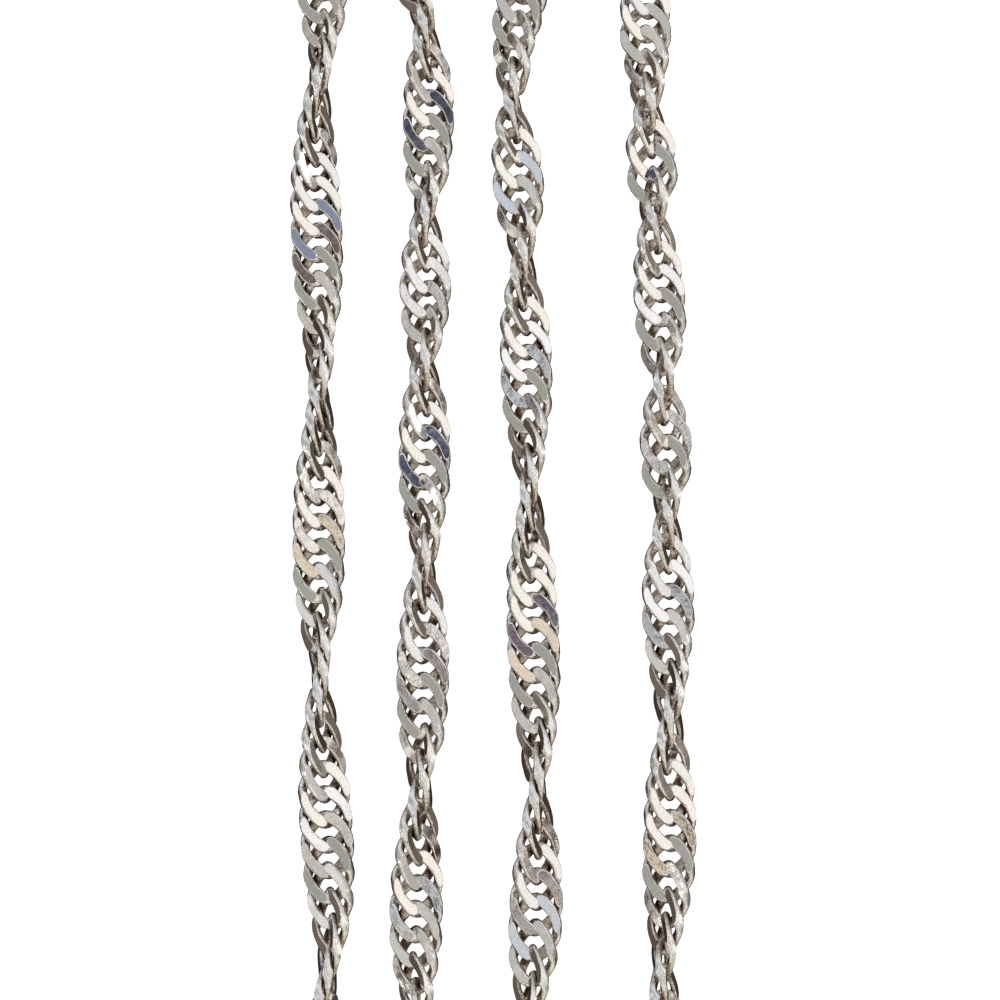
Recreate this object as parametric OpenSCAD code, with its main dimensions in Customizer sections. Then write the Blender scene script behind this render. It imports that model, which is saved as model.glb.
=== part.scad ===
// Necklace chain of flat double curb links, twisted on itself along its length.
// It is one closed loop that lies on a surface in four long strands. The strands
// are joined by two round turns at the bottom and by one turn inside another at
// the top, and a spring ring clasp closes the loop in the middle of the top turn.
// +Z is up, +Y runs along the strands and the surface is z = 0.

/* [Chain] */
// Width across the chain at its widest, from edge to edge of a link
chain_w = 3; // [2.6:0.1:3.2]

/* [Spring ring clasp] */
// Outer diameter of the ring
clasp_d = 6; // [5.4:0.1:6.4]
// Thickness of the ring's tube
clasp_tube_d = 1; // [0.8:0.05:1.1]
// Outer diameter of the eye that the jump ring goes through
eye_d = 2; // [1.9:0.1:2.2]
// Thickness of the eye's wire
eye_wire_d = 0.5; // [0.4:0.05:0.55]
// Direction of the trigger knob, in degrees round the ring from the far side
knob_angle = 50; // [30:5:120]
// Diameter of the knob at its tip
knob_d = 0.9; // [0.7:0.05:1]
// Height of the knob's tip above the tube
knob_h = 0.8; // [0.6:0.05:1]

/* [Rings on the chain's ends] */
// Outer diameter of the jump ring between the chain and the clasp's eye
jump_ring_d = 3; // [2.8:0.1:3]
// Outer diameter of the end ring that the clasp is closed round
end_ring_d = 3.2; // [3.2:0.1:3.4]
// Thickness of the wire of both rings
ring_wire_d = 0.6; // [0.5:0.05:0.6]

/* [Hidden] */
$fn = 48;

// Points that shape the route of the chain's axis, in plan. The chain follows them
// as a cubic B-spline, from the jump ring down the first strand and round to the
// end ring. They are [x, y] in millimetres.
route = [
    // left side of the outer turn
    [-6.5, 52.5], [-10.7, 50.5], [-12.9, 44.5], [-12.1, 35.5], [-9.2, 27],
    // first strand, going down
    [-10.6, 19], [-9.8, 8.5], [-9.9, -5.5], [-9.6, -20.5], [-8.2, -32.5],
    // left bottom turn
    [-12.9, -40.5], [-17.1, -47], [-13.2, -54.1], [-5, -54.1], [-1.2, -47], [-3.6, -39.5],
    // second strand, going up
    [-4.3, -30.5], [-3.8, -20.5], [-3.7, -8.5], [-3.7, 4.5], [-3.7, 16.5], [-3.2, 26.5],
    // inner top turn
    [-7.4, 33.7], [-9.5, 40.3], [-5.5, 46.9], [2.7, 46.9], [6.8, 40.3], [4.6, 33.7],
    // third strand, going down
    [0.9, 25.5], [1.9, 15.5], [2.3, 3.5], [2.5, -9.5], [3, -20.5], [2.7, -31.5],
    // right bottom turn
    [1, -39.5], [0.7, -47], [4.8, -54.1], [13, -54.1], [16.9, -47], [13.5, -40.5],
    // fourth strand, going up
    [9.3, -33.5], [10.6, -25.5], [10.4, -13.5], [10.5, 0.5], [9.8, 14.5], [9.1, 27.5],
    // right side of the outer turn
    [10.1, 36.5], [11.3, 44.5], [9.1, 50.5], [4.9, 52.5]
];

// The tube's section has flats below and above, chain_w apart
sides = 8;
section_r = chain_w / 2 / cos(180 / sides);
axis_z = chain_w / 2;

// Each half of the chain is swept through this many steps, a ring at each
half_steps = 39;
last = len(route) - 1;
half = last / 2;

// The tube stops this far short of the ring that its last link hangs on
end_gap = 0.1;

// The jump ring hangs this far off the middle of the eye, and the eye is
// soldered this deep into the clasp's ring
eye_play = 0.1;
solder_depth = 0.1;

// Places along the clasp's line, worked out from the chain's left end
jump_ring_r = (jump_ring_d - ring_wire_d) / 2;
end_ring_r = (end_ring_d - ring_wire_d) / 2;
eye_r = (eye_d - eye_wire_d) / 2;
clasp_r = (clasp_d - clasp_tube_d) / 2;
clasp_y = route[0][1];
jump_ring_x = route[0][0] + end_gap + jump_ring_d / 2;
eye_x = jump_ring_x + jump_ring_r + eye_play;
clasp_x = eye_x + eye_d / 2 + clasp_d / 2 - solder_depth;
end_ring_x = route[last][0] - end_gap - end_ring_d / 2;

// The knob is a ball on a thin stem
knob_stem_d = 0.6 * knob_d;
knob_centre = clasp_tube_d / 2 + knob_h - knob_d / 2;

// The clasp leans over until its near edge touches the surface
clasp_lean = asin((chain_w / 2 - clasp_tube_d / 2) / clasp_r);

// Weights of the four points round one span of a cubic B-spline, at t from 0 to 1
function weights(t) = [
    pow(1 - t, 3) / 6,
    (3 * pow(t, 3) - 6 * pow(t, 2) + 4) / 6,
    (-3 * pow(t, 3) + 3 * pow(t, 2) + 3 * t + 1) / 6,
    pow(t, 3) / 6
];

// A route point by its number, carried on in a straight line past either end
function route_point(i) =
    i < 0 ? 2 * route[0] - route[1] :
    i > last ? 2 * route[last] - route[last - 1] :
    route[i];

// Place on the axis at u, counted in route points from the start
function axis_at(u) =
    let (i = min(floor(u), last - 1), w = weights(u - i))
    w[0] * route_point(i - 1) + w[1] * route_point(i)
    + w[2] * route_point(i + 1) + w[3] * route_point(i + 2);

// Direction of the axis at u, as a vector of length 1
function direction_at(u) =
    let (d = axis_at(min(u + 0.01, last)) - axis_at(max(u - 0.01, 0)))
    d / norm(d);

// One ring of the tube's section, square to the axis at u
function section_at(u) =
    let (p = axis_at(u), d = direction_at(u))
    [for (k = [0 : sides - 1])
        let (a = (k + 0.5) * 360 / sides)
        [
            p[0] - d[1] * section_r * cos(a),
            p[1] + d[0] * section_r * cos(a),
            axis_z + section_r * sin(a)
        ]
    ];

// Half of the chain as a tube, swept from u_start over half of the route
module half_chain(u_start) {
    points = [for (j = [0 : half_steps]) each section_at(u_start + half * j / half_steps)];
    walls = [for (j = [0 : half_steps - 1], k = [0 : sides - 1])
        let (a = j * sides, b = (k + 1) % sides)
        [a + k, a + sides + k, a + sides + b, a + b]
    ];
    first_cap = [for (k = [0 : sides - 1]) k];
    last_cap = [for (k = [sides - 1 : -1 : 0]) half_steps * sides + k];
    polyhedron(points, concat([first_cap, last_cap], walls));
}

// Round wire bent to a closed ring in the XY plane
module wire_ring(r, wire_d) {
    rotate_extrude() translate([r, 0]) circle(d = wire_d);
}

module chain_left() {
    color("silver") half_chain(0);
}

module chain_right() {
    color("silver") half_chain(half);
}

// Closed ring that stands on its edge and joins the chain to the clasp's eye
module jump_ring() {
    color("gainsboro")
        translate([jump_ring_x, clasp_y, jump_ring_d / 2])
            rotate([90, 0, 0]) wire_ring(jump_ring_r, ring_wire_d);
}

// Spring ring in one plain piece: the tube, the eye and the trigger's knob
module spring_ring_clasp() {
    color("gainsboro")
        translate([clasp_x, clasp_y, axis_z]) rotate([clasp_lean, 0, 0]) {
            wire_ring(clasp_r, clasp_tube_d);
            translate([eye_x - clasp_x, 0, 0]) wire_ring(eye_r, eye_wire_d);
            rotate([0, 0, knob_angle]) translate([clasp_r, 0, 0]) rotate([0, 90, 0]) {
                cylinder(h = knob_centre, d = knob_stem_d);
                translate([0, 0, knob_centre]) sphere(d = knob_d);
            }
        }
}

// Closed ring that stands on its edge and that the clasp is closed round
module end_ring() {
    color("gainsboro")
        translate([end_ring_x, clasp_y, end_ring_d / 2])
            rotate([90, 0, 0]) wire_ring(end_ring_r, ring_wire_d);
}

chain_left();
chain_right();
jump_ring();
spring_ring_clasp();
end_ring();
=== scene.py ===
# %% [markdown]
# # A twisted flat curb chain, laid in four strands
#
# This lesson dresses a silver necklace. The links are flat double curb links: each
# one goes through the next two, and both faces of the ribbon that they make are cut
# flat. The ribbon is then twisted on itself, so it flashes where it lies flat and
# narrows to a thin waist where it stands on edge.
#
# The frame holds the necklace as plain solids: two tubes of the chain's full width,
# two rings and a clasp. Here the tubes are replaced by real links, and the clasp and
# its rings get the details and the finish of the real ones.

# %% The frame
import math
import random

import bmesh
import bpy
from mathutils import Matrix, Vector


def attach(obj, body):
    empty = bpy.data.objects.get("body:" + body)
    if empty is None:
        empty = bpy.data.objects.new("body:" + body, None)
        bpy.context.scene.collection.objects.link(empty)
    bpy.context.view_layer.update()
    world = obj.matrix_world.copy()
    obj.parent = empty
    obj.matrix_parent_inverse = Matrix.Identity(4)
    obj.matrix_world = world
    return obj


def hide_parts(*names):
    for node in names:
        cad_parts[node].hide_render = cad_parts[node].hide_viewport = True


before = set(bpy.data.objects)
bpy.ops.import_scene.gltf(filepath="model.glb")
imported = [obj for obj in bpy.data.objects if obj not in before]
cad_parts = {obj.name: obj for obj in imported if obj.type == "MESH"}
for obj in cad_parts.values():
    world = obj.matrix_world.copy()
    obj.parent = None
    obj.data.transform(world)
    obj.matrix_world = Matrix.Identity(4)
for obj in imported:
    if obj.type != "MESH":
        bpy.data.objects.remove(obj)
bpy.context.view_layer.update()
MM = 0.001
print("nodes in the frame:", sorted(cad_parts))

# %% [markdown]
# ## Sizes
#
# A curb link starts as a loop of round wire. The sizes below are read from the
# photograph with the chain's width as the scale: the wire, the spacing of the links
# and the height at which both faces of the ribbon are filed flat.

# %% Sizes of the chain
CHAIN_WIDTH = 3.0 * MM
WIRE_RADIUS = 0.24 * MM
PITCH = 1.45 * MM
FACET_HEIGHT = 0.3 * MM
AXIS_HEIGHT = CHAIN_WIDTH / 2

# %% [markdown]
# ## The route
#
# The chain's axis is the curve that the tubes of the frame were swept along. It is a
# cubic B-spline, which passes near its points and never kinks, so its bends stay
# gentle enough for stiff links. The same points are repeated here.

# %% The route of the chain's axis
ROUTE_MM = [
    # left side of the outer turn
    (-6.5, 52.5), (-10.7, 50.5), (-12.9, 44.5), (-12.1, 35.5), (-9.2, 27),
    # first strand, going down
    (-10.6, 19), (-9.8, 8.5), (-9.9, -5.5), (-9.6, -20.5), (-8.2, -32.5),
    # left bottom turn
    (-12.9, -40.5), (-17.1, -47), (-13.2, -54.1), (-5, -54.1), (-1.2, -47), (-3.6, -39.5),
    # second strand, going up
    (-4.3, -30.5), (-3.8, -20.5), (-3.7, -8.5), (-3.7, 4.5), (-3.7, 16.5), (-3.2, 26.5),
    # inner top turn
    (-7.4, 33.7), (-9.5, 40.3), (-5.5, 46.9), (2.7, 46.9), (6.8, 40.3), (4.6, 33.7),
    # third strand, going down
    (0.9, 25.5), (1.9, 15.5), (2.3, 3.5), (2.5, -9.5), (3, -20.5), (2.7, -31.5),
    # right bottom turn
    (1, -39.5), (0.7, -47), (4.8, -54.1), (13, -54.1), (16.9, -47), (13.5, -40.5),
    # fourth strand, going up
    (9.3, -33.5), (10.6, -25.5), (10.4, -13.5), (10.5, 0.5), (9.8, 14.5), (9.1, 27.5),
    # right side of the outer turn
    (10.1, 36.5), (11.3, 44.5), (9.1, 50.5), (4.9, 52.5),
]
SPAN_SAMPLES = 40


def route_points():
    """The route's points in metres, carried on in a straight line past both ends."""
    points = [Vector((x, y, 0)) * MM for x, y in ROUTE_MM]
    before = 2 * points[0] - points[1]
    after = 2 * points[-1] - points[-2]
    return [before] + points + [after]


def spline(points, samples):
    """A uniform cubic B-spline through the plane, as close-set places along it."""
    places = []
    for span in range(len(points) - 3):
        a, b, c, d = points[span:span + 4]
        for step in range(samples):
            t = step / samples
            places.append(((1 - t) ** 3 * a + (3 * t ** 3 - 6 * t ** 2 + 4) * b
                           + (-3 * t ** 3 + 3 * t ** 2 + 3 * t + 1) * c + t ** 3 * d) / 6)
    places.append((points[-3] + 4 * points[-2] + points[-1]) / 6)
    return places


AXIS = spline(route_points(), SPAN_SAMPLES)
AXIS_STEPS = [(b - a).length for a, b in zip(AXIS, AXIS[1:])]
AXIS_DISTANCE = [0.0]
for step in AXIS_STEPS:
    AXIS_DISTANCE.append(AXIS_DISTANCE[-1] + step)
ROUTE_LENGTH = AXIS_DISTANCE[-1]


def between(distances, values, distance):
    """The value at a distance, read straight between the nearest two of a table."""
    low, high = 0, len(distances) - 1
    while high - low > 1:
        middle = (low + high) // 2
        if distances[middle] > distance:
            high = middle
        else:
            low = middle
    share = (distance - distances[low]) / (distances[high] - distances[low])
    return values[low] + (values[high] - values[low]) * share


def axis_place(distance):
    return between(AXIS_DISTANCE, AXIS, distance)


def axis_direction(distance, reach=0.3 * MM):
    low, high = max(distance - reach, 0), min(distance + reach, ROUTE_LENGTH)
    return (axis_place(high) - axis_place(low)).normalized()


print("route: %.1f mm of chain" % (ROUTE_LENGTH / MM))

# %% [markdown]
# ## The twist
#
# The ribbon is on edge at each waist and has turned half way round by the next. The
# waists are what the eye reads in the photograph, so they drive the twist: each row
# below is one strand, with the places of its waists up the strand. Where the strand
# is out of sight the waists are set at an even spacing.

# %% The waists and the twist between them
PHOTO_CENTRE = Vector((0.7, -3.5, 0)) * MM + Vector((0, 0, AXIS_HEIGHT))
WAISTS_MM = [
    # first strand, going down
    (24.85, 6.15, -10.62, -27.6),
    # second strand, going up
    (-29.8, -17.0, -3.7, 8.0, 17.0, 28.9),
    # third strand, going down
    (24.17, 14.6, 0.65, -16.45),
    # fourth strand, going up
    (-26.5, -12.25, -0.7, 7.0, 17.1, 23.5),
]
STRAND_STARTS = (4, 15, 27, 39)
HIDDEN_SPACING = 13 * MM


def distance_at(strand, height):
    """How far along the route a strand reaches a height above the photo's centre."""
    y = PHOTO_CENTRE.y + height * MM
    row = (STRAND_STARTS[strand] - 1) * SPAN_SAMPLES
    while (AXIS[row].y - y) * (AXIS[row + 1].y - y) > 0:
        row += 1
    share = (y - AXIS[row].y) / (AXIS[row + 1].y - AXIS[row].y)
    return AXIS_DISTANCE[row] + share * AXIS_STEPS[row]


def waist_distances():
    """The distances of all waists along the route, seen ones and hidden ones."""
    seen = [[distance_at(strand, height) for height in heights]
            for strand, heights in enumerate(WAISTS_MM)]
    for row in seen:
        print("waists at", [round(d / MM, 1) for d in row], "mm")
    waists = []
    for row in seen:
        start = waists[-1] if waists else None
        if start is not None:
            gap = row[0] - start
            count = max(round(gap / HIDDEN_SPACING), 1)
            waists += [start + gap * k / count for k in range(1, count)]
        waists += row
    return waists


END_LINK = 0.56 * MM
FIRST_LINK = END_LINK
LAST_LINK = ROUTE_LENGTH - END_LINK
waists = waist_distances()


def end_turns(gap):
    """Half turns from a waist to an end link, which lies flat."""
    return max(round(gap / HIDDEN_SPACING - 0.5), 0) + 0.5


TWIST_AT = [FIRST_LINK] + waists + [LAST_LINK]
first_turns = end_turns(waists[0] - FIRST_LINK)
last_turns = end_turns(LAST_LINK - waists[-1])
HALF_TURNS = [0.0] + [first_turns + k for k in range(len(waists))]
HALF_TURNS.append(HALF_TURNS[-1] + last_turns)


def slope_at(row):
    """A smooth rate of twist at a row of the table, never steeper than its sides."""
    if row in (0, len(TWIST_AT) - 1):
        return None
    before = (HALF_TURNS[row] - HALF_TURNS[row - 1]) / (TWIST_AT[row] - TWIST_AT[row - 1])
    after = (HALF_TURNS[row + 1] - HALF_TURNS[row]) / (TWIST_AT[row + 1] - TWIST_AT[row])
    return 2 * before * after / (before + after)


def twist(distance):
    """The ribbon's angle at a distance: a smooth curve through the table."""
    row = max(k for k in range(len(TWIST_AT) - 1) if k == 0 or TWIST_AT[k] <= distance)
    x0, x1 = TWIST_AT[row], TWIST_AT[row + 1]
    y0, y1 = HALF_TURNS[row], HALF_TURNS[row + 1]
    mean = (y1 - y0) / (x1 - x0)
    m0 = slope_at(row) or mean
    m1 = slope_at(row + 1) or mean
    t = (distance - x0) / (x1 - x0)
    turns = ((2 * t ** 3 - 3 * t ** 2 + 1) * y0 + (t ** 3 - 2 * t ** 2 + t) * (x1 - x0) * m0
             + (-2 * t ** 3 + 3 * t ** 2) * y1 + (t ** 3 - t ** 2) * (x1 - x0) * m1)
    return turns * math.pi


print("half turns over the chain: %.1f" % HALF_TURNS[-1])

# %% [markdown]
# ## The camera
#
# The photograph looks down on the strands from nearly overhead. Its lower edge is a
# little nearer, because the chain looks five parts in a hundred wider there.

# %% The camera
CAMERA_DISTANCE = 160 * MM
CAMERA_TILT = math.radians(8)
VIEW_WIDTH = 1000 / 17.17 * MM
SENSOR_WIDTH = 36

camera_data = bpy.data.cameras.new("camera")
camera = bpy.data.objects.new("camera", camera_data)
bpy.context.scene.collection.objects.link(camera)
bpy.context.scene.camera = camera
camera_data.sensor_width = SENSOR_WIDTH
camera_data.lens = SENSOR_WIDTH * CAMERA_DISTANCE / VIEW_WIDTH
camera_data.clip_start = 0.005
camera_data.clip_end = 10
back = Vector((0, -math.sin(CAMERA_TILT), math.cos(CAMERA_TILT)))
camera.location = PHOTO_CENTRE + back * CAMERA_DISTANCE
camera.rotation_euler = (CAMERA_TILT, 0, 0)
print("camera: lens %.1f mm" % camera_data.lens)

# %% [markdown]
# ## Silver
#
# Silver has hardly a colour of its own: what the eye sees is the room, bent by the
# surface. So the two silvers of a link differ in how they bend it. The cut faces are
# nearly flat mirrors with faint clouds of wear, so each flashes in one tone. The drawn
# wire between them has fine lines along it. Both patterns are noise nodes at sizes in
# millimetres. A flat colour would look like paint. The wire's colour also darkens to
# brown deep inside the link, partly tarnish and partly painted shade, and goes nearly
# black where wires nearly touch, which is painted shade.

# %% Helpers for materials
def linear(hex_colour):
    values = [int(hex_colour[k:k + 2], 16) / 255 for k in (1, 3, 5)]
    return [v / 12.92 if v <= 0.04045 else ((v + 0.055) / 1.055) ** 2.4 for v in values] + [1]


def add_node(material, kind, settings=None, **links):
    node = material.node_tree.nodes.new(kind)
    for key, value in (settings or {}).items():
        if isinstance(key, str) and hasattr(node, key):
            setattr(node, key, value)
        else:
            node.inputs[key].default_value = value
    for key, socket in links.items():
        material.node_tree.links.new(socket, node.inputs[key.replace("_", " ")])
    return node


def link_nodes(material, source, target):
    material.node_tree.links.new(source, target)


def noise(material, size, detail=2.0):
    """A cloudy pattern with spots of one size, in metres."""
    where = add_node(material, "ShaderNodeTexCoord").outputs["Object"]
    return add_node(material, "ShaderNodeTexNoise", {"Scale": 1 / size, "Detail": detail},
                    Vector=where).outputs["Fac"]


def ramp(material, factor, stops):
    """Colours at positions from 0 to 1, read at a factor."""
    node = add_node(material, "ShaderNodeValToRGB", Fac=factor)
    elements = node.color_ramp.elements
    elements[0].position, elements[0].color = stops[0][0], linear(stops[0][1])
    elements[1].position, elements[1].color = stops[-1][0], linear(stops[-1][1])
    for position, colour in stops[1:-1]:
        elements.new(position).color = linear(colour)
    return node.outputs["Color"]


def spread(material, factor, low, high):
    """Spreads the middle of a factor over a range of values."""
    return add_node(material, "ShaderNodeMapRange", {
        "From Min": 0.3, "From Max": 0.7, "To Min": low, "To Max": high},
        Value=factor).outputs["Result"]


# %% The silvers of a link
def silver(name, roughness, height, spots):
    """Polished silver whose surface waves by a height and gets duller with a pattern."""
    material = bpy.data.materials.new(name)
    material.use_nodes = True
    shader = material.node_tree.nodes["Principled BSDF"]
    shader.inputs["Metallic"].default_value = 1
    pattern = spots(material)
    link_nodes(material, spread(material, pattern, *roughness), shader.inputs["Roughness"])
    bump = add_node(material, "ShaderNodeBump", {"Distance": height}, Height=pattern)
    link_nodes(material, bump.outputs["Normal"], shader.inputs["Normal"])
    return material, shader


def facet_material():
    """Cut faces: mirrors with a slow wave, so that one facet shades from end to end."""
    material, shader = silver("silver_cut_facets", roughness=(0.05, 0.16), height=0.016 * MM,
                              spots=lambda owner: noise(owner, 0.7 * MM, detail=5.0))
    # the fine grain that wear leaves on a bright facet
    grain = noise(material, 0.1 * MM)
    worn = ramp(material, grain, [(0.3, "#ebe9e6"), (0.5, "#f7f5f2"), (0.7, "#ffffff")])
    link_nodes(material, worn, shader.inputs["Base Color"])
    return material


# spots of the noise along a link's loop of wire and round the wire, and how many the
# pattern moves on over a metre of the necklace
SPOTS_ALONG, SPOTS_ROUND = 12, 36
SPOTS_PER_METRE = 400


def streaks(material):
    """Lines along the wire: a noise stretched on the wire's own map, moved on from link to link."""
    coordinates = add_node(material, "ShaderNodeTexCoord").outputs
    stretch = add_node(material, "ShaderNodeMapping", {"Scale": (SPOTS_ALONG, SPOTS_ROUND, 1)},
                       Vector=coordinates["UV"])
    shift = add_node(material, "ShaderNodeVectorMath",
                     {"operation": "MULTIPLY_ADD", 1: Vector((1, 1, 1)) * SPOTS_PER_METRE})
    link_nodes(material, coordinates["Object"], shift.inputs[0])
    link_nodes(material, stretch.outputs[0], shift.inputs[2])
    return add_node(material, "ShaderNodeTexNoise", {"Scale": 1.0, "Detail": 2.0},
                    Vector=shift.outputs[0]).outputs["Fac"]


def flank_material():
    """Drawn wire between the facets: bright by the rims, darkening to brown below them with tarnish and
    painted shade, and nearly to black with painted shade where wires nearly touch.
    """
    material, shader = silver("silver_drawn_wire", roughness=(0.04, 0.14), height=0.035 * MM,
                              spots=streaks)
    depth = add_node(material, "ShaderNodeAttribute", {"attribute_name": "depth"}).outputs["Fac"]
    cloud = spread(material, noise(material, 0.14 * MM), -0.3, 0.3)
    low = add_node(material, "ShaderNodeMath", {"operation": "ADD"})
    link_nodes(material, depth, low.inputs[0])
    link_nodes(material, cloud, low.inputs[1])
    # tarnish and painted shade: the wire's colour turns brown deeper inside the link, broken up by the
    # cloud
    tarnish_and_shade = ramp(material, low.outputs[0], [
        (0.0, "#ffffff"), (0.3, "#f2ede7"), (0.6, "#d0c5b9"), (1.0, "#a19082")])
    # painted shade: open to the room, 1, or hemmed in by other wires, 0, where the colour goes nearly
    # black
    open_sky = add_node(material, "ShaderNodeAmbientOcclusion",
                        {"samples": 8, "Distance": 0.4 * MM}).outputs["AO"]
    painted_contact_shade = ramp(material, open_sky, [(0.1, "#0d0a08"), (0.38, "#b3a79b"), (0.6, "#ffffff")])
    shade = add_node(material, "ShaderNodeMix", {"data_type": "RGBA", "blend_type": "MULTIPLY", 0: 1.0})
    link_nodes(material, tarnish_and_shade, shade.inputs[6])
    link_nodes(material, painted_contact_shade, shade.inputs[7])
    link_nodes(material, shade.outputs[2], shader.inputs["Base Color"])
    return material


facet_silver = facet_material()
flank_silver = flank_material()

# %% [markdown]
# ## One link
#
# A jeweller winds wire on a rod, saws off the loops, twists each loop so that it can lie
# flat beside its neighbours, rolls the chain and files both faces. The model is made the
# same way. A Bezier circle with a round bevel is bent to a path of sixteen stops, and
# because the link looks the same after half a turn and when it is flipped over, five
# stops are enough. The mesh is then rolled flatter, its sides are pressed straight, and
# a plane cuts each face. A narrow bevel round each cut gives the bright rim.
#
# The result is a light cage, which one level of subdivision rounds once all the links
# are laid. The edges of the rims are creased and marked sharp, so they stay crisp.

# %% Helpers for modelling
def deselect_all():
    if bpy.context.object and bpy.context.object.mode != "OBJECT":
        bpy.ops.object.mode_set(mode="OBJECT")
    bpy.ops.object.select_all(action="DESELECT")


def work_on(piece):
    deselect_all()
    piece.select_set(True)
    bpy.context.view_layer.objects.active = piece


def apply_modifier(piece, name, kind, **settings):
    modifier = piece.modifiers.new(name, kind)
    for key, value in settings.items():
        setattr(modifier, key, value)
    work_on(piece)
    bpy.ops.object.modifier_apply(modifier=name)


# %% The link
CAGE_SWELL = 1.2
ROLLED = 0.7
SIDE = 1.53 * MM
HALF_LENGTH = 2.0 * MM
RIM = 0.035 * MM
# across, along and above the link's middle in mm, and the wire's thickness
QUARTER_PATH = [
    (0.00, 1.71, 0.00, 1.36),
    (0.38, 1.57, 0.35, 1.40),
    (0.92, 1.00, 0.15, 1.28),
    (1.39, 0.46, 0.33, 1.53),
    (1.41, 0.00, 0.00, 1.92),
]


def link_path():
    """The sixteen stops of the wire's path, clockwise from the link's upper end."""
    quarter = [(Vector((x, y, z)) * MM, thickness) for x, y, z, thickness in QUARTER_PATH]
    flip = Matrix.Diagonal((1, -1, -1))
    mirrored = [(flip @ place, thickness) for place, thickness in reversed(quarter[1:-1])]
    half = quarter + mirrored
    half_turn = Matrix.Rotation(math.pi, 3, "Z")
    return half + [(half_turn @ place, thickness) for place, thickness in half]


def bent_loop():
    """A loop of round wire, bent to the link's path, as a mesh of rings."""
    deselect_all()
    bpy.ops.curve.primitive_bezier_circle_add(radius=1)
    loop = bpy.context.object
    loop.data.dimensions = "3D"
    loop.data.twist_mode = "Z_UP"
    bpy.ops.object.mode_set(mode="EDIT")
    bpy.ops.curve.select_all(action="SELECT")
    bpy.ops.curve.subdivide(number_cuts=3)
    bpy.ops.object.mode_set(mode="OBJECT")
    points = loop.data.splines[0].bezier_points
    for point, (place, thickness) in zip(points[4:] + points[:4], link_path()):
        point.handle_left_type = point.handle_right_type = "AUTO"
        point.co = place
        point.radius = thickness
    loop.data.resolution_u = 1
    loop.data.bevel_depth = WIRE_RADIUS * CAGE_SWELL
    loop.data.bevel_resolution = 1
    bpy.ops.object.convert(target="MESH")
    link = bpy.context.object
    link.data.transform(Matrix.Diagonal((1, 1, ROLLED, 1)))
    for vertex in link.data.vertices:
        vertex.co.x = max(min(vertex.co.x, SIDE), -SIDE)
    return link


def file_flat(link, face):
    """Cuts the facets of one face, which is +1 in front and -1 behind."""
    work_on(link)
    bpy.ops.object.mode_set(mode="EDIT")
    bpy.ops.mesh.select_all(action="SELECT")
    bpy.ops.mesh.bisect(plane_co=(0, 0, face * FACET_HEIGHT), plane_no=(0, 0, face), use_fill=True,
                        clear_outer=True, threshold=1e-8)
    bpy.ops.mesh.bevel(offset=RIM, affect="EDGES")
    bpy.ops.object.mode_set(mode="OBJECT")


def is_filed(face):
    """Whether a face lies in one of the two planes that the link was cut at."""
    return abs(face.normal.z) > 0.999


def crease_rims(link):
    """Keeps both edges of the narrow rim round each facet crisp."""
    cage = bmesh.new()
    cage.from_mesh(link.data)
    crease = cage.edges.layers.float.new("crease_edge")
    for facet in filter(is_filed, cage.faces):
        for corner in facet.loops:
            across_rim = corner.link_loop_radial_next.link_loop_next.link_loop_next
            for edge in (corner.edge, across_rim.edge):
                edge[crease] = 1
                edge.smooth = False
    cage.to_mesh(link.data)
    cage.free()


FACETS, FLANKS = 0, 1


def mark_depth(link):
    """Writes how deep each place lies inside the link, where the wire gets tarnish and painted shade.
    """
    depth = link.data.attributes.new("depth", "FLOAT", "POINT")
    for vertex, mark in zip(link.data.vertices, depth.data):
        x, y, z = (abs(value) for value in vertex.co)
        below_faces = 1 - z / FACET_HEIGHT
        from_outline = 1 - max(x / SIDE, y / HALF_LENGTH)
        # full depth a quarter of the way in from the outline
        mark.value = min(below_faces, from_outline * 4, 1)


def make_link():
    link = bent_loop()
    file_flat(link, 1)
    file_flat(link, -1)
    crease_rims(link)
    mark_depth(link)
    link.data.materials.append(facet_silver)
    link.data.materials.append(flank_silver)
    for face in link.data.polygons:
        face.material_index = FACETS if is_filed(face) else FLANKS
    print("facets:", [len(p.vertices) for p in link.data.polygons if p.material_index == FACETS])
    return link


link_master = make_link()
print("link: %d faces" % len(link_master.data.polygons))

# %% [markdown]
# ## Laying the links
#
# Light shows through the ribbon in a row of openings, one between each two links. Some
# of them are read from the photograph, as heights in each strand, and the links are
# spaced evenly between these. Each link turns with the ribbon and is a hair out of line,
# as real links are. The copies are joined to one piece for each tube that they stand
# for.

# %% The links along the route
OPENINGS_MM = [
    (18.22, 0.87, -19.2),
    (-27.16, -9.8, 3.24, 23.4),
    (29.75, 19.68, 9.49, -6.61, -25.31),
    (-20.56, -6.08, 9.97, 20.23),
]


def link_distances():
    """Where the link middles are: an opening of the chain is half way between two."""
    marks, counts = [FIRST_LINK], [0.0]
    openings = [distance_at(strand, height) for strand, heights in enumerate(OPENINGS_MM)
                for height in heights]
    for mark in openings + [LAST_LINK]:
        half = 0.5 if mark in (openings[0], LAST_LINK) else 0
        counts.append(counts[-1] + round((mark - marks[-1]) / PITCH - half) + half)
        marks.append(mark)
    return [between(counts, marks, count) for count in range(int(counts[-1]) + 1)]


def link_matrix(distance):
    """The place and turn of the link at a distance along the route."""
    ahead = axis_direction(distance)
    aside = Vector((-ahead.y, ahead.x, 0))
    up = Vector((0, 0, 1))
    angle = twist(distance)
    across = aside * math.cos(angle) + up * math.sin(angle)
    along = -ahead
    out = across.cross(along)
    matrix = Matrix((across, along, out)).transposed().to_4x4()
    matrix.translation = axis_place(distance) + up * AXIS_HEIGHT
    return matrix


JITTER = math.radians(3)
rng = random.Random(7)


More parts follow.
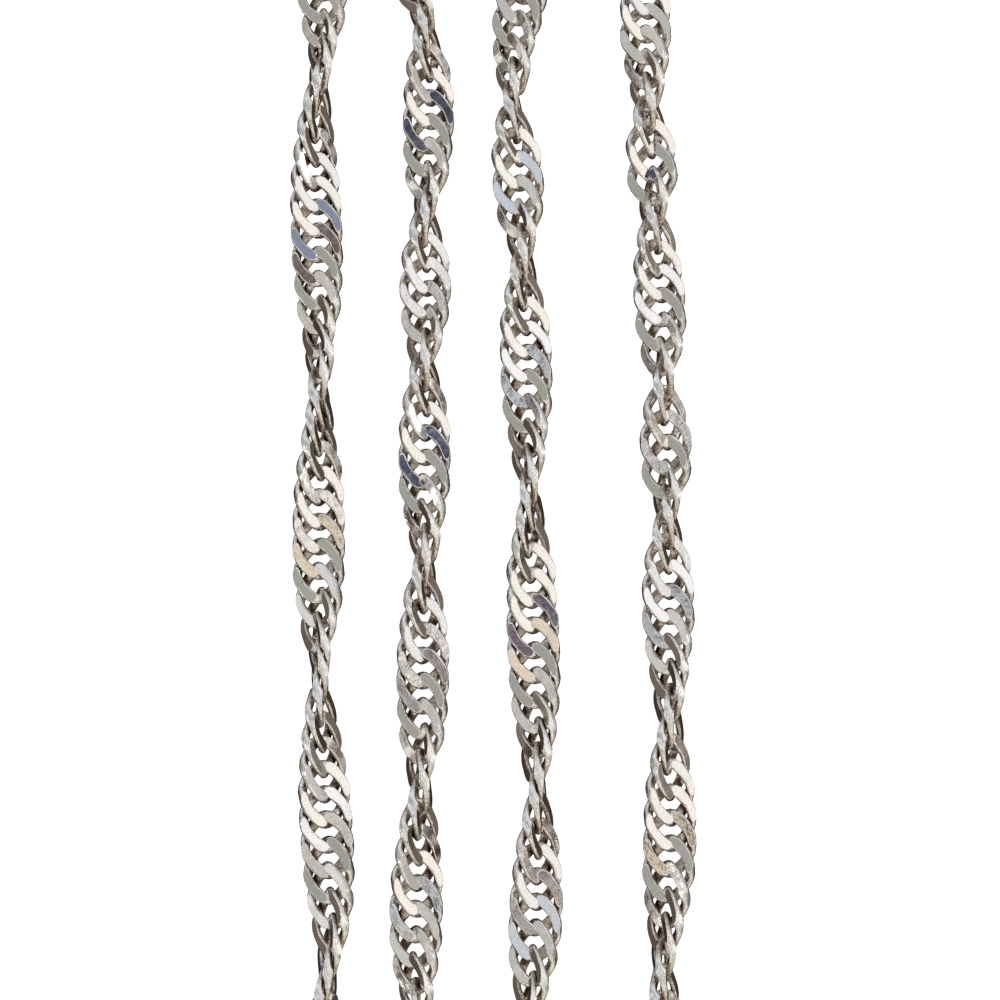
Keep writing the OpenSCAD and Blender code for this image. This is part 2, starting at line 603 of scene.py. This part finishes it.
def laid_link(distance):
    link = link_master.copy()
    link.data = link_master.data.copy()
    bpy.context.scene.collection.objects.link(link)
    lean = Matrix.Rotation(rng.gauss(0, JITTER), 4, "X")
    roll = Matrix.Rotation(rng.gauss(0, JITTER), 4, "Y")
    link.data.transform(link_matrix(distance) @ lean @ roll)
    return link


def joined(pieces, name):
    deselect_all()
    for piece in pieces:
        piece.select_set(True)
    bpy.context.view_layer.objects.active = pieces[0]
    bpy.ops.object.join()
    whole = bpy.context.object
    whole.name = name
    whole.data.name = name
    return whole


distances = link_distances()
middle = ROUTE_LENGTH / 2
left_links = joined([laid_link(d) for d in distances if d <= middle], "links_left")
right_links = joined([laid_link(d) for d in distances if d > middle], "links_right")
bpy.data.objects.remove(link_master)
for links in (left_links, right_links):
    apply_modifier(links, "Round", "SUBSURF", levels=1, render_levels=1)
    bpy.ops.object.shade_smooth()
    print(links.name, "has", sum(len(p.vertices) - 2 for p in links.data.polygons), "triangles")
steps = [(after - before) / MM for before, after in zip(distances, distances[1:])]
print("links: %d, %.3f to %.3f mm apart" % (len(distances), min(steps), max(steps)))

# %% [markdown]
# ## The clasp and its rings
#
# A spring ring closes the loop. Its tube is open over a short stretch, which a thinner
# bolt bridges, and the knob that draws the bolt back runs in a slot on the outside. All
# of it starts from torus, sphere and cylinder primitives at the sizes of the frame. The
# jump ring and the end ring are bent wire, so each shows the hairline where its ends
# were soldered together.

# %% Sizes of the clasp and its rings
CLASP_LINE = 52.5 * MM
CLASP_X = 0.3 * MM
CLASP_RADIUS, CLASP_TUBE = 2.5 * MM, 1.0 * MM
CLASP_LEAN = math.asin((CHAIN_WIDTH - CLASP_TUBE) / 2 / CLASP_RADIUS)
EYE_OFFSET, EYE_RADIUS, EYE_WIRE = 3.9 * MM, 0.75 * MM, 0.5 * MM
KNOB_TURN, KNOB_REACH, KNOB_SIZE, KNOB_STEM = 50, 0.85 * MM, 0.9 * MM, 0.54 * MM
JUMP_RING_X, JUMP_RING_RADIUS = -4.9 * MM, 1.2 * MM
END_RING_X, END_RING_RADIUS = 3.2 * MM, 1.3 * MM
RING_WIRE = 0.6 * MM
# parts of the round in degrees: where the bolt shows, the knob's slot and a ring's seam
MOUTH, SLOT, SEAM = (98, 138), (22, 62), (118, 121)
COLLAR_WIDTH = 3
# the wire's thickness there as a share of its full one
BOLT_SHARE, COLLAR_SHARE, SEAM_SHARE = 0.7, 0.94, 0.93
SLOT_CREST, SLOT_RIM, SLOT_DEPTH = 0.46 * CLASP_TUBE, 0.03 * MM, 0.2 * MM
RING_SEGMENTS = 120
SHARP_FROM = math.radians(32)
BELT_HEIGHT, BELT_DEPTH = 0.06 * MM, 0.04 * MM


# %% Helpers for turned pieces
def select_faces(piece, wanted):
    """Goes to edit mode with only the wanted faces selected."""
    work_on(piece)
    bpy.ops.object.mode_set(mode="EDIT")
    bpy.ops.mesh.select_mode(type="FACE")
    bpy.ops.mesh.select_all(action="DESELECT")
    bpy.ops.object.mode_set(mode="OBJECT")
    for face in piece.data.polygons:
        face.select = wanted(face)
    bpy.ops.object.mode_set(mode="EDIT")


def turn_of(place):
    """The direction of a place round a ring's middle, in degrees."""
    return math.degrees(math.atan2(place.y, place.x)) % 360


def wire_ring(name, radius, wire, segments):
    deselect_all()
    bpy.ops.mesh.primitive_torus_add(major_radius=radius, minor_radius=wire / 2,
                                     major_segments=segments, minor_segments=16)
    ring = bpy.context.object
    ring.name = name
    return ring


def slim(ring, radius, share, first, last):
    """Thins a ring's wire between two directions round the ring."""
    for vertex in ring.data.vertices:
        if first < turn_of(vertex.co) < last:
            middle = Vector((vertex.co.x, vertex.co.y, 0)).normalized() * radius
            vertex.co = middle + (vertex.co - middle) * share


# %% The spring ring's tube, bolt and slot
clasp = wire_ring("spring_ring", CLASP_RADIUS, CLASP_TUBE, RING_SEGMENTS)
slim(clasp, CLASP_RADIUS, BOLT_SHARE, *MOUTH)
for collar in (MOUTH[0] - COLLAR_WIDTH, MOUTH[1] + COLLAR_WIDTH):
    slim(clasp, CLASP_RADIUS, COLLAR_SHARE, collar - 1, collar + 1)
select_faces(clasp, lambda face: SLOT[0] < turn_of(face.center) < SLOT[1]
             and face.center.xy.length > CLASP_RADIUS + SLOT_CREST)
bpy.ops.mesh.inset(thickness=SLOT_RIM)
bpy.ops.mesh.extrude_region_shrink_fatten(TRANSFORM_OT_shrink_fatten={"value": -SLOT_DEPTH})
bpy.ops.object.mode_set(mode="OBJECT")
print("clasp tube:", len(clasp.data.polygons), "faces,",
      "%.2f mm across" % (clasp.dimensions.x / MM))

# %% The eye and the knob
eye = wire_ring("eye", EYE_RADIUS, EYE_WIRE, 48)
eye.data.transform(Matrix.Translation((-EYE_OFFSET, 0, 0)))
deselect_all()
bpy.ops.mesh.primitive_cylinder_add(vertices=20, radius=KNOB_STEM / 2, depth=KNOB_REACH,
                                    location=(0, 0, KNOB_REACH / 2), end_fill_type="TRIFAN")
stem = bpy.context.object
deselect_all()
bpy.ops.mesh.primitive_uv_sphere_add(segments=28, ring_count=14, radius=KNOB_SIZE / 2,
                                     location=(0, 0, KNOB_REACH))
knob = bpy.context.object
for piece in (stem, knob):
    work_on(piece)
    bpy.ops.object.transform_apply(location=True, rotation=False, scale=False)
select_faces(knob, lambda face: abs(face.center.z - KNOB_REACH) < BELT_HEIGHT)
bpy.ops.mesh.extrude_region_shrink_fatten(TRANSFORM_OT_shrink_fatten={"value": -BELT_DEPTH})
bpy.ops.object.mode_set(mode="OBJECT")
outward = (Matrix.Rotation(math.radians(KNOB_TURN), 4, "Z")
           @ Matrix.Translation((CLASP_RADIUS, 0, 0))
           @ Matrix.Rotation(math.radians(90), 4, "Y"))
for piece in (stem, knob):
    piece.data.transform(outward)
clasp = joined([clasp, eye, stem, knob], "spring_ring")
clasp.data.transform(Matrix.Translation((CLASP_X, CLASP_LINE, AXIS_HEIGHT))
                     @ Matrix.Rotation(CLASP_LEAN, 4, "X"))

# %% The two rings
def upright_ring(name, x, radius):
    """A ring of bent wire on its edge, with the seam of its joint at the top."""
    ring = wire_ring(name, radius, RING_WIRE, RING_SEGMENTS)
    slim(ring, radius, SEAM_SHARE, *SEAM)
    place = Matrix.Translation((x, CLASP_LINE, radius + RING_WIRE / 2))
    ring.data.transform(place @ Matrix.Rotation(math.radians(90), 4, "X"))
    return ring


jump_ring = upright_ring("jump_ring_wire", JUMP_RING_X, JUMP_RING_RADIUS)
end_ring = upright_ring("end_ring_wire", END_RING_X, END_RING_RADIUS)
# turned and polished silver: long soft reflections, with a faint haze of handling
clasp_silver, shader = silver("sterling_silver_clasp", roughness=(0.06, 0.22), height=0.006 * MM,
                              spots=lambda owner: noise(owner, 0.4 * MM, detail=4.0))
shader.inputs["Base Color"].default_value = linear("#f2f1ee")
for piece in (clasp, jump_ring, end_ring):
    work_on(piece)
    bpy.ops.object.shade_smooth_by_angle(angle=SHARP_FROM)
    piece.data.materials.append(clasp_silver)
    print(piece.name, [round(side / MM, 2) for side in piece.dimensions], "mm")

# %% [markdown]
# ## The stage and the room
#
# The necklace lies on a white table. The table glows a little, because the photograph's
# ground is pure white, and polished metal doesn't mirror it.
#
# The light comes from the world, which is painted as a photographer's tent: brown and
# dark low down, bright at half height, pale grey overhead, with a few soft panels in
# cream, white and slate. A flat face mirrors one direction only, so these panels are
# what makes neighbouring links flash in different tones. Round wire mirrors the whole
# room as thin lines, and four small lamps by the horizon give it glints.

# %% The table
deselect_all()
bpy.ops.mesh.primitive_plane_add(size=4, location=(0, 0, 0))
floor = bpy.context.object
floor.name = "floor"
floor.visible_glossy = False
floor_paint = bpy.data.materials.new("floor_white")
floor_paint.use_nodes = True
shader = floor_paint.node_tree.nodes["Principled BSDF"]
shader.inputs["Base Color"].default_value = (0.85, 0.85, 0.85, 1)
shader.inputs["Roughness"].default_value = 0.9
shader.inputs["Specular IOR Level"].default_value = 0.0
shader.inputs["Emission Color"].default_value = (1, 1, 1, 1)
shader.inputs["Emission Strength"].default_value = 0.85
floor.data.materials.append(floor_paint)

# %% The room
world = bpy.data.worlds.new("studio")
bpy.context.scene.world = world
world.use_nodes = True
# from straight below, 0, past the horizon, 0.5, to straight above, 1
TENT = [(0.0, "#241c17"), (0.2, "#453a31"), (0.4, "#7a6e63"), (0.55, "#a8a199"),
        (0.66, "#f4f3f1"), (0.85, "#f8f7f5"), (0.93, "#bcbbb7"), (1.0, "#bcbbb7")]
# direction, angle of the full colour and of the edge in degrees, colour; later ones lie on top
PANELS = [
    ((0.55, 0.1, 0.8), 18, 30, "#fff9f0"),
    ((0.2, 0.25, 0.95), 8, 14, "#ffffff"),
    ((-0.3, 0.1, 0.9), 10, 16, "#c9d2dc"),
    ((-0.75, 0.2, 0.6), 14, 26, "#a3a39c"),
    ((0.0, 0.12, 1.0), 8, 11, "#3f4657"),
    ((-0.12, 0.3, 1.0), 5, 8, "#8791a5"),
    ((0.1, -0.9, 0.5), 20, 35, "#efe6d6"),
    ((0.0, 0.9, 0.45), 20, 35, "#c9cdd3"),
    ((0.7, -0.65, -0.25), 8, 13, "#efe9e0"),
    ((-0.65, 0.7, -0.2), 8, 13, "#e4e8ee"),
    ((0.75, -0.45, 0.45), 9, 14, "#3a332d"),
    ((-0.6, -0.55, 0.55), 9, 14, "#4a443e"),
    ((0.04, -0.04, 1.0), 5, 7, "#837076"),
    ((-0.17, 0.02, 0.98), 4, 6, "#ecdac0"),
    ((0.3, 0.02, 0.95), 4, 6, "#8e8f93"),
    ((-0.42, 0.24, 0.87), 5, 7, "#655653"),
]
# small lamps by the horizon, brighter than white, which the wire mirrors as glints
LAMPS = [(0.95, 0.1, 0.0), (-0.95, -0.1, 0.05), (0.3, 0.95, -0.1), (-0.3, -0.95, -0.1)]
LAMP_SIZE = (5, 8)
LAMP_STRENGTH = 3


def patch(owner, direction, inner, outer, vector):
    """1 within an angle of a direction of the room, fading to 0 at a wider angle."""
    aim = Vector(direction).normalized()
    dot = add_node(owner, "ShaderNodeVectorMath", {"operation": "DOT_PRODUCT", 1: aim})
    link_nodes(owner, vector, dot.inputs[0])
    return add_node(owner, "ShaderNodeMapRange", {
        "From Min": math.cos(math.radians(outer)), "From Max": math.cos(math.radians(inner))},
        Value=dot.outputs["Value"]).outputs["Result"]


def room(owner):
    """Paints the tent by height, then lays the panels and the lamps over it."""
    where = add_node(owner, "ShaderNodeTexCoord").outputs["Generated"]
    split = add_node(owner, "ShaderNodeSeparateXYZ")
    link_nodes(owner, where, split.inputs[0])
    half = add_node(owner, "ShaderNodeMapRange", {"From Min": -1}, Value=split.outputs["Z"])
    colour = ramp(owner, half.outputs["Result"], TENT)
    panels = [(direction, inner, outer, linear(shade)) for direction, inner, outer, shade in PANELS]
    lamps = [(direction, *LAMP_SIZE, [LAMP_STRENGTH] * 3 + [1]) for direction in LAMPS]
    for direction, inner, outer, colour_there in panels + lamps:
        mask = patch(owner, direction, inner, outer, where)
        mix = add_node(owner, "ShaderNodeMix", {"data_type": "RGBA", 7: colour_there})
        link_nodes(owner, mask, mix.inputs[0])
        link_nodes(owner, colour, mix.inputs[6])
        colour = mix.outputs[2]
    link_nodes(owner, colour, owner.node_tree.nodes["Background"].inputs["Color"])


room(world)
bpy.context.scene.view_settings.view_transform = "Standard"

# %% [markdown]
# ## Handing over
#
# Each piece takes the place of one solid of the frame and moves with the necklace's only
# body.

# %% Handing over
for links, node in ((left_links, "chain_left"), (right_links, "chain_right")):
    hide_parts(node)
    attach(links, "root")
for piece, node in ((clasp, "spring_ring_clasp"), (jump_ring, "jump_ring"), (end_ring, "end_ring")):
    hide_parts(node)
    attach(piece, "root")
